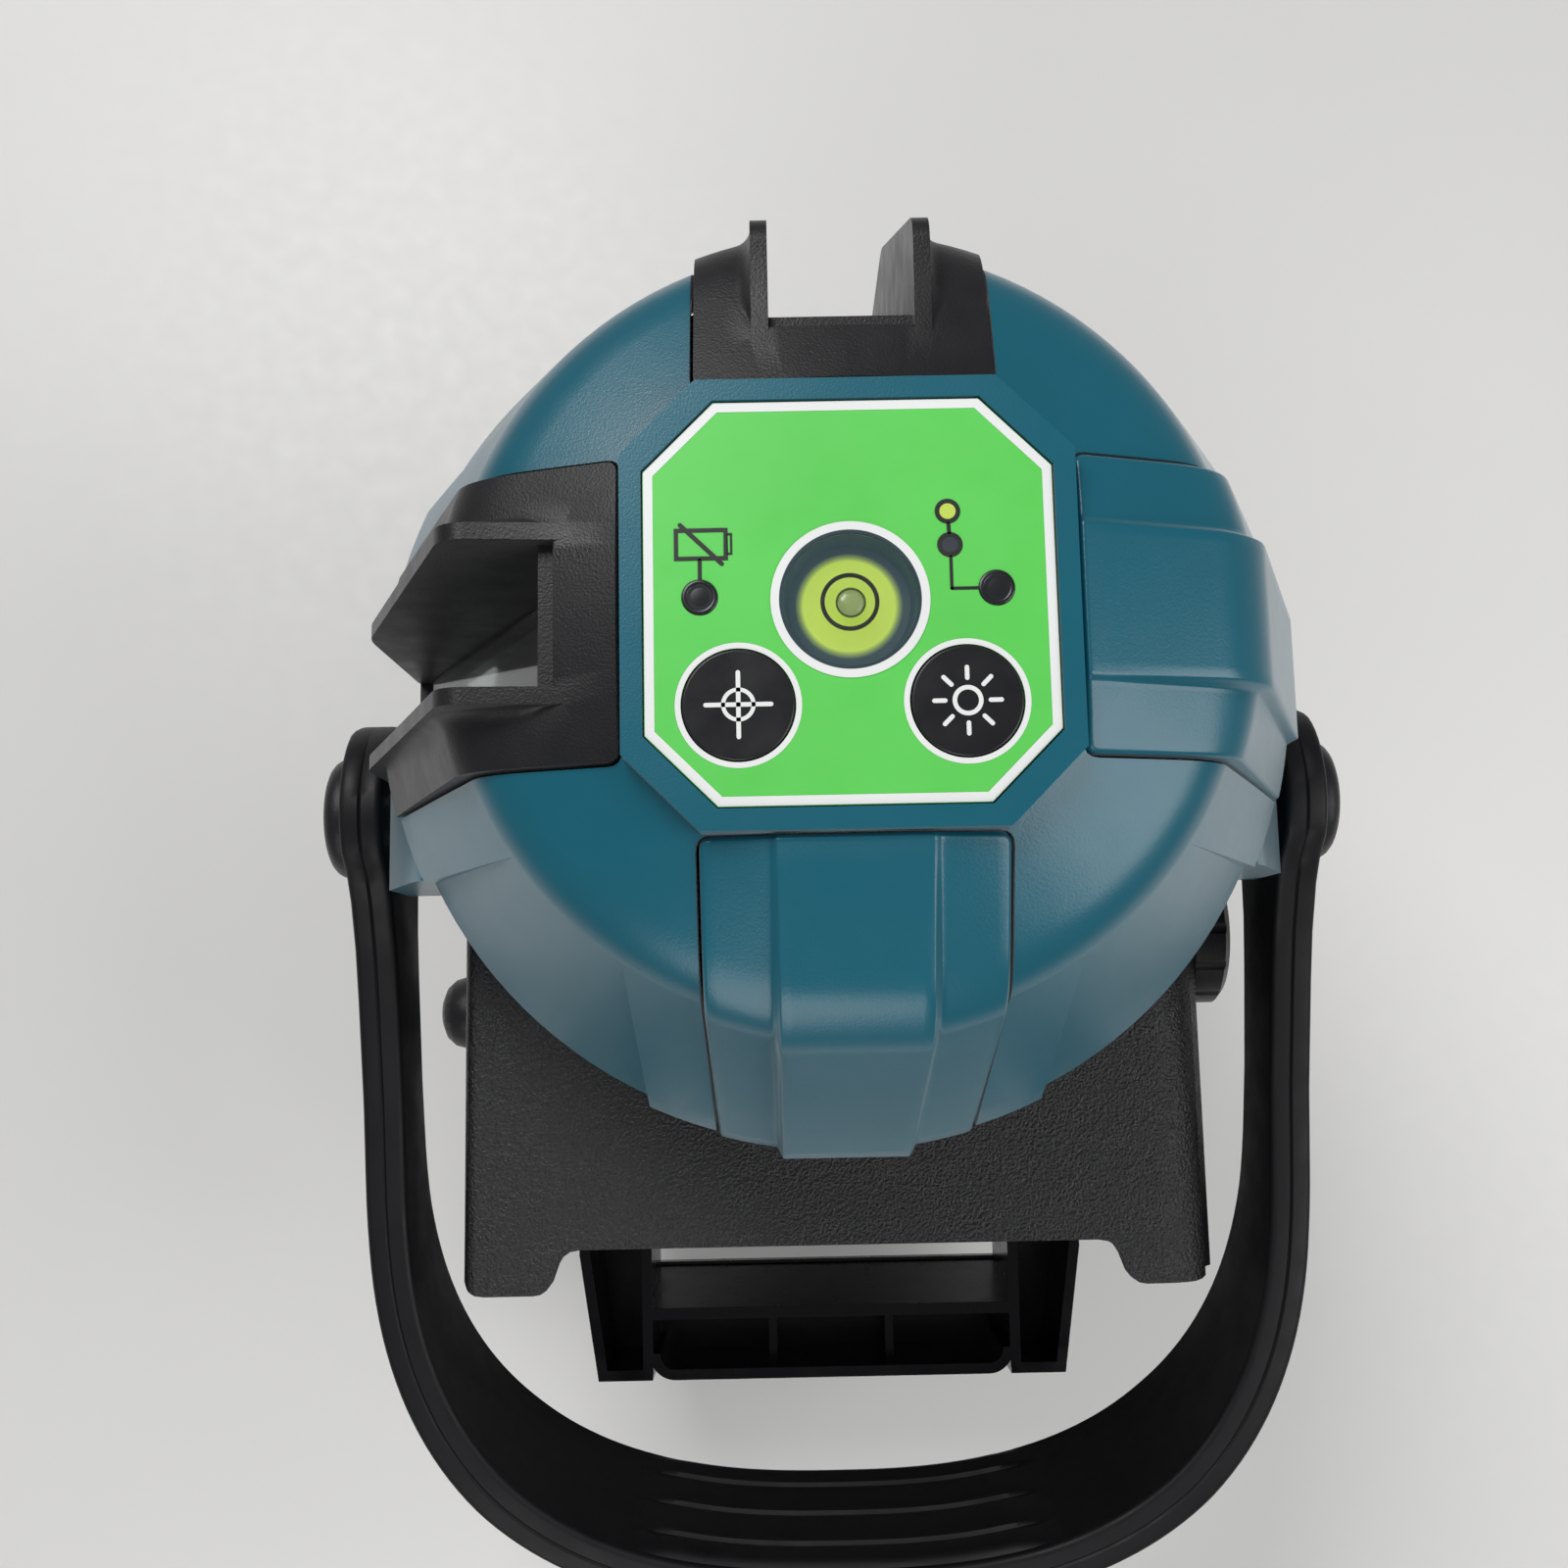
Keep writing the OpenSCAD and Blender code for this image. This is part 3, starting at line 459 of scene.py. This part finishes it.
def soften(obj, width):
    """Small round edges on a CAD piece, with its triangles joined into flat faces first."""
    obj.data.polygons.foreach_set("use_smooth", [True] * len(obj.data.polygons))
    weld = obj.modifiers.new("weld", "WELD")
    weld.merge_threshold = 1e-6
    flatten = obj.modifiers.new("flatten", "DECIMATE")
    flatten.decimate_type = "DISSOLVE"
    flatten.angle_limit = math.radians(0.8)
    edges = obj.modifiers.new("edges", "BEVEL")
    edges.width = width * MM
    edges.segments = 3
    edges.limit_method = "ANGLE"
    edges.angle_limit = math.radians(28)
    edges.miter_outer = "MITER_ARC"
    normals = obj.modifiers.new("normals", "WEIGHTED_NORMAL")
    normals.weight = 70


# ---- panel print ----


def panel_print():
    """The label's border, marks and rings, each printed a hair above the panel."""
    low = PANEL_TOP - PRINT_SUNK
    high = PANEL_TOP + PRINT_RISE
    border = Shape()
    border.band(
        octagon(PANEL_HALF, PANEL_CUT),
        octagon(PANEL_HALF - BORDER, PANEL_CUT - BORDER_CUT),
        low,
        high,
    )
    border.piece("label_border", "turret", WHITE, slot="panel_green")

    rings = Shape()
    for centre in BUTTON_AT:
        rings.band(*[circle(r, 96, centre) for r in BUTTON_RING], low, high)
    rings.band(circle(VIAL_RING_R, 96), circle(VIAL_WALL_R, 96), low, PANEL_TOP + 0.16)
    rings.piece("button_and_vial_rings", "turret", WHITE, slot="panel_green")
    mouth = Shape().band(circle(VIAL_WALL_R, 96), circle(VIAL_MOUTH_R, 96), low, PANEL_TOP + 0.17)
    mouth.piece("vial_inner_ring", "turret", DEEP_INK, slot="panel_green")

    marks = Shape()
    # battery with a stroke through it, and the line to its light
    marks.band(rectangle(-19.5, 4.7, -13.5, 8.4), rectangle(-19.03, 5.17, -13.97, 7.93), low, high)
    marks.band(rectangle(-13.6, 5.3, -13.0, 7.8), rectangle(-13.5, 5.55, -13.25, 7.55), low, high)
    marks.slab(stroke((-18.8, 8.8), (-14.2, 4.3), 0.5), low, high + 0.01)
    marks.slab(stroke((-16.65, 4.7), (-16.65, 2.6), 0.44), low, high)
    # two modes, joined to the other light
    for centre in MODE_AT:
        marks.band(*[circle(r, 40, centre) for r in MODE_RING], low, high)
    marks.slab(stroke((11.15, 8.4), (11.2, 7.4), 0.43), low, high)
    marks.slab(stroke((11.3, 4.6), (11.3, 1.0), 0.36), low, high)
    marks.slab(stroke((11.3, 1.0), (14.4, 1.0), 0.36), low, high)
    marks.piece("mode_marks", "turret", INK, slot="panel_green")

    for name, centre, ink in zip(
        ("mode_dot_light", "mode_dot_dark"), MODE_AT, (LIME_INK, GREY_INK)
    ):
        dot = Shape().slab(circle(MODE_DOT_R, 40, centre), low, high - PRINT_SUNK)
        dot.piece(name, "turret", ink, slot="panel_green")


def button_marks():
    """Plain signs on the two buttons: crossed lines, and a sun."""
    low = BUTTON_TOP - PRINT_SUNK
    high = BUTTON_TOP + BUTTON_RISE
    x, y = BUTTON_AT[0]
    lines = Shape()
    lines.slab(stroke((x - 3.6, y), (x + 3.6, y), SIGN_LINE), low, high)
    lines.slab(stroke((x, y - 3.6), (x, y + 3.6), SIGN_LINE), low, high)
    lines.band(circle(1.9, 40, (x, y)), circle(1.45, 40, (x, y)), low, high)
    lines.piece("line_button_mark", "line_button", WHITE, slot="button_black")
    x, y = BUTTON_AT[1]
    sun = Shape()
    sun.band(circle(1.7, 40, (x, y)), circle(1.2, 40, (x, y)), low, high)
    for i in range(8):
        c, s = math.cos(math.pi * i / 4), math.sin(math.pi * i / 4)
        start, end = [(x + r * c, y + r * s) for r in (2.5, 3.7)]
        sun.slab(stroke(start, end, SIGN_LINE), low, high)
    sun.piece("light_button_mark", "light_button", WHITE, slot="button_black")


def lights_and_vial():
    """The two domed lights, and what shows through the vial's lens: pool, target and bubble."""
    domes = Shape()
    for centre in LIGHT_AT:
        domes.turned(
            [
                (1.99, 202.95), (1.99, 203.12), (1.85, 203.2), (1.5, 203.2), (1.4, 203.1),
                (0.9, 203.17), (0.02, 203.19),
            ],
            centre,
        )
    domes.piece("light_domes", "turret", SMOKED, smooth_angle=50, slot="smoked_lens")

    pool = Shape()
    pool.turned(
        [
            (7.62, 198.6), (7.66, 201.7), (7.6, 201.7), (7.3, 200.2), (6.9, 199.5), (6.0, 199.4),
            (0.02, 199.4),
        ]
    )
    made = pool.piece("vial_pool", "turret", POOL_WITH_PAINTED_GLOW, smooth_angle=50, slot="vial_liquid")
    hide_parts("vial_liquid")

    target = Shape()
    target.band(*[circle(r, 80) for r in TARGET_RING], 201.3, 201.4)
    target.piece("vial_target_ring", "turret", INK, slot="vial_liquid")
    rim = Shape()
    rim.band(*[circle(r, 64, BUBBLE_AT) for r in BUBBLE_RIM], 201.25, 201.45)
    rim.piece("bubble_rim", "turret", VIAL_RING, slot="vial_liquid")
    bubble = Shape()
    bubble.turned(
        [(0.6, 200.7), (1.3, 201.0), (1.52, 201.3), (1.3, 201.5), (0.7, 201.62), (0.02, 201.66)],
        BUBBLE_AT,
        48,
    )
    bubble.piece("bubble", "turret", BUBBLE, smooth_angle=60, slot="vial_liquid")


# ---- covers ----


def bend(a, b, c, steps):
    """Quadratic curve from a to c with its corner at b, without its last point."""
    return [
        tuple((1 - t) ** 2 * a[k] + 2 * t * (1 - t) * b[k] + t * t * c[k] for k in (0, 1))
        for t in [i / steps for i in range(steps)]
    ]


def line(a, b, steps):
    """Evenly spaced points from a to b, without b."""
    return [tuple(a[k] + (b[k] - a[k]) * i / steps for k in (0, 1)) for i in range(steps)]


def cover_profile():
    """Outside of a cover as (radius, height), from its inner edge to the rim."""
    slope = (CROWN_END[1] - CROWN_START[1]) / (CROWN_END[0] - CROWN_START[0])
    start, near = [
        (radius, CROWN_START[1] + slope * (radius - CROWN_START[0]))
        for radius in (COVER_START, COVER_START + 1.6)
    ]
    return (
        line(start, near, 8)
        + line(near, CROWN_END, 14)
        + bend(CROWN_END, SHOULDER_CORNER, SHOULDER_END, 12)
        + line(SHOULDER_END, FLANK_END, 16)
        + [FLANK_END, (FLANK_END[0], RIM_Z)]
    )


def block_rise(radius):
    """How far the raised block stands out of the cover, as (outwards, up), at a profile radius."""
    grown = min(1.0, max(0.0, (radius - BLOCK_START) / BLOCK_GROWTH))
    flank = smooth_step(radius, CROWN_END[0] + 2.0, SHOULDER_END[0] + 0.8)
    out, up = BLOCK_FLANK
    return (out * flank, BLOCK_UP * grown * (1 - flank) + up * flank)


def height_at(profile, radius):
    """Height of the cover's surface of revolution at a radius."""
    for (r0, z0), (r1, z1) in zip(profile, profile[1:]):
        if radius <= r1 and r1 > r0:
            return z0 + (z1 - z0) * (radius - r0) / (r1 - r0)
    return profile[-1][1]


def profile_normal(profile, k):
    """Direction out of the cover at a profile station, as (outwards, up)."""
    ahead = profile[min(k + 1, len(profile) - 2)]
    behind = profile[max(0, min(k - 1, len(profile) - 3))]
    run, fall = ahead[0] - behind[0], behind[1] - ahead[1]
    length = math.hypot(run, fall)
    return (fall / length, run / length)


def skin_point(profile, k, x):
    """Point of the cover's plain surface across from profile station k."""
    radius, height = profile[k]
    mix = smooth_step(radius, CROWN_END[0] - 5.0, SHOULDER_END[0])
    y = radius + (math.sqrt(radius**2 - x**2) - radius) * mix
    if mix >= 1.0:
        return y, height
    return y, height_at(profile, math.hypot(x, y))


def turned_about(point, degrees):
    """A point turned about the upright axis."""
    c, s = math.cos(math.radians(degrees)), math.sin(math.radians(degrees))
    return (c * point[0] - s * point[1], s * point[0] + c * point[1], point[2])


def across_stations():
    """Places across a cover as shares of its half width, closer together at the block's sides."""
    edge = BLOCK_HALF / COVER_HALF
    side = BLOCK_SIDE / COVER_HALF
    half = [edge - side + side * (i / 8) for i in range(9)]
    half = [0.0, 0.15, 0.3, 0.42] + half + [edge + 0.03, 0.7, 0.8, 0.9]
    return [-v for v in reversed(half[1:])] + half


def cover_point(profile, k, x, depth):
    """Point at a depth under the cover with its block, across from profile station k."""
    radius, height = profile[k]
    out, up = block_rise(radius)
    share = 1 - smooth_step(abs(x), BLOCK_HALF - BLOCK_SIDE, BLOCK_HALF)
    y, z = skin_point(profile, k, x)
    y += (radius + out - y) * share
    z += (height + up - z) * share
    normal = profile_normal(profile, k)
    return (x, y - normal[0] * depth, z - normal[1] * depth)


def cover(turn, name):
    """A blank cover with a soft raised block, as one closed skin."""
    profile = cover_profile()
    rings = []
    for k, (radius, _) in enumerate(profile):
        inset = radius - COVER_START
        half = COVER_HALF - corner_drop(inset, COVER_CORNER)
        sunk = corner_drop(inset, COVER_EDGE)
        top = [cover_point(profile, k, v * half, sunk) for v in across_stations()]
        left = []
        for i in range(5):
            angle = math.radians(22.5 * i)
            x = -half + COVER_EDGE * (1 - math.sin(angle))
            left.append(cover_point(profile, k, x, sunk + COVER_EDGE * (1 - math.cos(angle))))
        right = [(-x, y, z) for x, y, z in left]
        under_left, under_right = [cover_point(profile, k, x, COVER_T) for x in (-half, half)]
        ring = [under_left] + list(reversed(left)) + top + right + [under_right]
        rings.append([turned_about(point, turn) for point in ring])
    skin = Shape().loft(rings)
    made = skin.piece(name + "_skin", "turret", TEAL, smooth_angle=50, slot="teal_plastic")
    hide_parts(name)


def fin_coves(turn, name):
    """Hollow fillets along the outer roots of a housing's two guard fins."""
    coves = Shape()
    profile = cover_profile()
    stations = [k for k, p in enumerate(profile) if p[0] > 33.0 and p[1] > RIM_Z + 1.0]
    arc = [(1 - math.sin(math.radians(15 * i)), 1 - math.cos(math.radians(15 * i))) for i in range(7)]
    for side in (-1, 1):
        rings = []
        for k in stations:
            radius, height = profile[k]
            normal = profile_normal(profile, k)
            reach = COVE * smooth_step(radius, 33.5, 37.5)
            reach = max(0.05, min(reach, 0.9 + 0.8 * smooth_step(height, RIM_Z, RIM_Z + 30.0)))
            ring = []
            for across, lift in [(-0.4, -0.5), (1.0, -0.5)] + arc:
                x = FIN_ROOT + across * reach
                y, z = skin_point(profile, k, x)
                y += normal[0] * lift * reach
                z += normal[1] * lift * reach
                ring.append(turned_about((side * x, y, z), turn))
            rings.append(ring)
        coves.loft(rings)
    coves.piece(name, "turret", BLACK, smooth_angle=50, slot="black_plastic")


# ---- handle ----


def strap_half_height(reach):
    """Half of the strap's width at that distance from the pivot, along the handle."""
    stations = (
        (6, 12.6), (8, 11.333), (12, 9.8), (20, 8.3), (28, 7.8), (45, 7.4), (56, 8.0), (66, 8.9),
        (78, 10.8), (92, 13.0), (106, 15.2), (118, 16.2),
    )
    if reach < stations[0][0]:
        return math.sqrt(max(0.0, PADDLE_R**2 - reach**2))
    for (a, low), (b, high) in zip(stations, stations[1:]):
        if reach <= b:
            return low + (high - low) * (reach - a) / (b - a)
    return stations[-1][1]


def strap_section(half, thick):
    """Strap cut across: points (out, up), with round corners and a parting groove in each edge."""
    corner = min(STRAP_CORNER, 0.9 * half, 0.9 * thick)
    groove = min(PARTING_DEPTH, 0.5 * corner)
    points = []
    for sx, sy, start in ((1, 1, 0), (-1, 1, 90), (-1, -1, 180), (1, -1, 270)):
        for i in range(5):
            angle = math.radians(start + 22.5 * i)
            points.append(
                (
                    sx * (thick - corner) + corner * math.cos(angle),
                    sy * (half - corner) + corner * math.sin(angle),
                )
            )
        if start in (0, 180):
            lip = sx * PARTING_HALF
            points.extend([(lip, sy * half), (0.0, sy * (half - groove)), (-lip, sy * half)])
    return points


def bow_point(angle, grow):
    """Point of the loop's contour as (x, reach), at an angle from 0 to 180 degrees."""
    soft = 2 / BOW_POWER
    c, s = math.cos(math.radians(angle)), math.sin(math.radians(angle))
    return (
        math.copysign((ARM_OUT + grow) * abs(c) ** soft, c),
        BOW_START + (HANDLE_REACH - BOW_START + grow) * max(0.0, s) ** soft,
    )


def handle_track(angles):
    """Middle of the strap in the bow as (x, reach, half thickness in x, half thickness in reach)."""
    track = []
    for angle in angles:
        outer = bow_point(angle, 0.0)
        inner = bow_point(angle, -STRAP_T)
        track.append(
            (
                0.5 * (outer[0] + inner[0]),
                0.5 * (outer[1] + inner[1]),
                0.5 * (outer[0] - inner[0]),
                0.5 * (outer[1] - inner[1]),
            )
        )
    return track


def folded(x, reach, up):
    """A point of the handle, given along the handle and across it, where the folded handle has it."""
    return (
        x,
        PIVOT[0] - reach * math.cos(FOLD) - up * math.sin(FOLD),
        PIVOT[1] - reach * math.sin(FOLD) + up * math.cos(FOLD),
    )


def handle_loop():
    """The carrying handle: one swept strap with round paddles at the pivots."""
    half_t = 0.5 * STRAP_T
    arm = ARM_OUT - half_t
    reaches = [-PADDLE_R * math.cos(math.radians(7.5 * i)) for i in range(12)]
    reaches += [2.0 * i for i in range(27)]
    side = [(arm, reach, half_t, 0.0) for reach in reaches]
    mirrored = [(-x, reach, -nx, ny) for x, reach, nx, ny in reversed(side)]
    bow = handle_track([0.6 + 1.985 * i for i in range(91)])
    rings = []
    for x, reach, nx, ny in side + bow + mirrored:
        half = max(0.05, strap_half_height(reach))
        thick = half_t - corner_drop(reach + PADDLE_R, STRAP_CORNER)
        rings.append(
            [
                folded(x + nx * out / half_t, reach + ny * out / half_t, up)
                for out, up in strap_section(half, thick)
            ]
        )
    strap = Shape().loft(rings)
    made = strap.piece("handle_strap", "handle", STRAP, smooth_angle=40, slot="black_rubber")
    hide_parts("handle")


def handle_pad():
    """Soft pad inside the bow with three grooves that run out at its ends."""
    half_t = 0.5 * STRAP_T
    profile = [(-up, height, 0.0) for up, height in PAD_EDGE]
    for middle in GROOVE_AT:
        profile += [(middle + side, PAD_SWELL, depth) for side, depth in GROOVE]
    profile += [(up, height, 0.0) for up, height in reversed(PAD_EDGE)]
    angles = [a for a in [0.5 * i for i in range(361)] if abs(bow_point(a, 0.0)[0]) <= PAD_HALF]
    rings = []
    for x, reach, nx, ny in handle_track(angles):
        rise = smooth_step(PAD_HALF - abs(x), 0.0, 11.0)
        cut = smooth_step(PAD_HALF - abs(x), 1.0, 6.0)
        levels = [
            (up, half_t - 0.1 + (height - groove * cut) * rise) for up, height, groove in profile
        ]
        levels += [(10.0, half_t - PAD_BACK), (-10.0, half_t - PAD_BACK)]
        rings.append(
            [
                folded(x - nx * level / half_t, reach - ny * level / half_t, up)
                for up, level in levels
            ]
        )
    pad = Shape().loft(rings)
    made = pad.piece("handle_pad", "handle", STRAP, smooth_angle=35, slot="black_rubber")
    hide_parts("handle_grip")


# ---- stage ----


def stage():
    """Pale floor, soft world and three large lamps."""
    floor = Shape()
    floor.slab(rectangle(-1500, -1500, 1500, 1500), -6.0, 0.0)
    floor.piece("floor", None, FLOOR)

    world = bpy.context.scene.world or bpy.data.worlds.new("world")
    bpy.context.scene.world = world
    world.use_nodes = True
    bpy.context.scene.view_settings.view_transform = "Standard"
    background = world.node_tree.nodes["Background"]
    background.inputs["Color"].default_value = (0.93, 0.95, 1.0, 1.0)
    background.inputs["Strength"].default_value = 0.23

    for name, place, size, power in (
        ("key", (-260, 420, 760), 420, 3.7),
        ("fill", (520, -160, 620), 500, 2.0),
        ("rear", (-120, -640, 520), 520, 1.6),
    ):
        data = bpy.data.lights.new(name, "AREA")
        data.shape = "DISK"
        data.size = size * MM
        data.energy = power
        lamp = bpy.data.objects.new(name, data)
        lamp.location = Vector(place) * MM
        aim = Vector((0, 0, 140)) * MM - lamp.location
        lamp.rotation_euler = aim.to_track_quat("-Z", "Y").to_euler()
        bpy.context.scene.collection.objects.link(lamp)


def camera():
    """Camera that looks down on the panel from just above it."""
    data = bpy.data.cameras.new("camera")
    data.lens = CAMERA_LENS
    data.sensor_width = 36.0
    made = bpy.data.objects.new("camera", data)
    made.location = Vector(CAMERA_AT) * MM
    made.rotation_euler = [math.radians(a) for a in CAMERA_TURN]
    bpy.context.scene.collection.objects.link(made)
    bpy.context.scene.camera = made


# ---- build ----

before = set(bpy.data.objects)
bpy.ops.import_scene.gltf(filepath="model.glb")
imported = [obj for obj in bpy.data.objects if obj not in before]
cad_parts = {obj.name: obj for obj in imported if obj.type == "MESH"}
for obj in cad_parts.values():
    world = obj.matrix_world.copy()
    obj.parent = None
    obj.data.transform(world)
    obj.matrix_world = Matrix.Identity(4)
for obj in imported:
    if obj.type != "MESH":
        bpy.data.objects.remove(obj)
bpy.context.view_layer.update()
camera()
for material, names in NODE_FINISH.items():
    for name in names:
        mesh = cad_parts[name].data
        mesh.materials.clear()
        mesh.materials.append(material)
for name, width in EDGE_WIDTH.items():
    soften(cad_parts[name], width)
panel_print()
button_marks()
lights_and_vial()
cover(TURNS["right"], "right_cover")
cover(TURNS["rear"], "rear_cover")
fin_coves(TURNS["front"], "front_fin_roots")
fin_coves(TURNS["left"], "left_fin_roots")
handle_loop()
handle_pad()
stage()
bpy.context.view_layer.update()
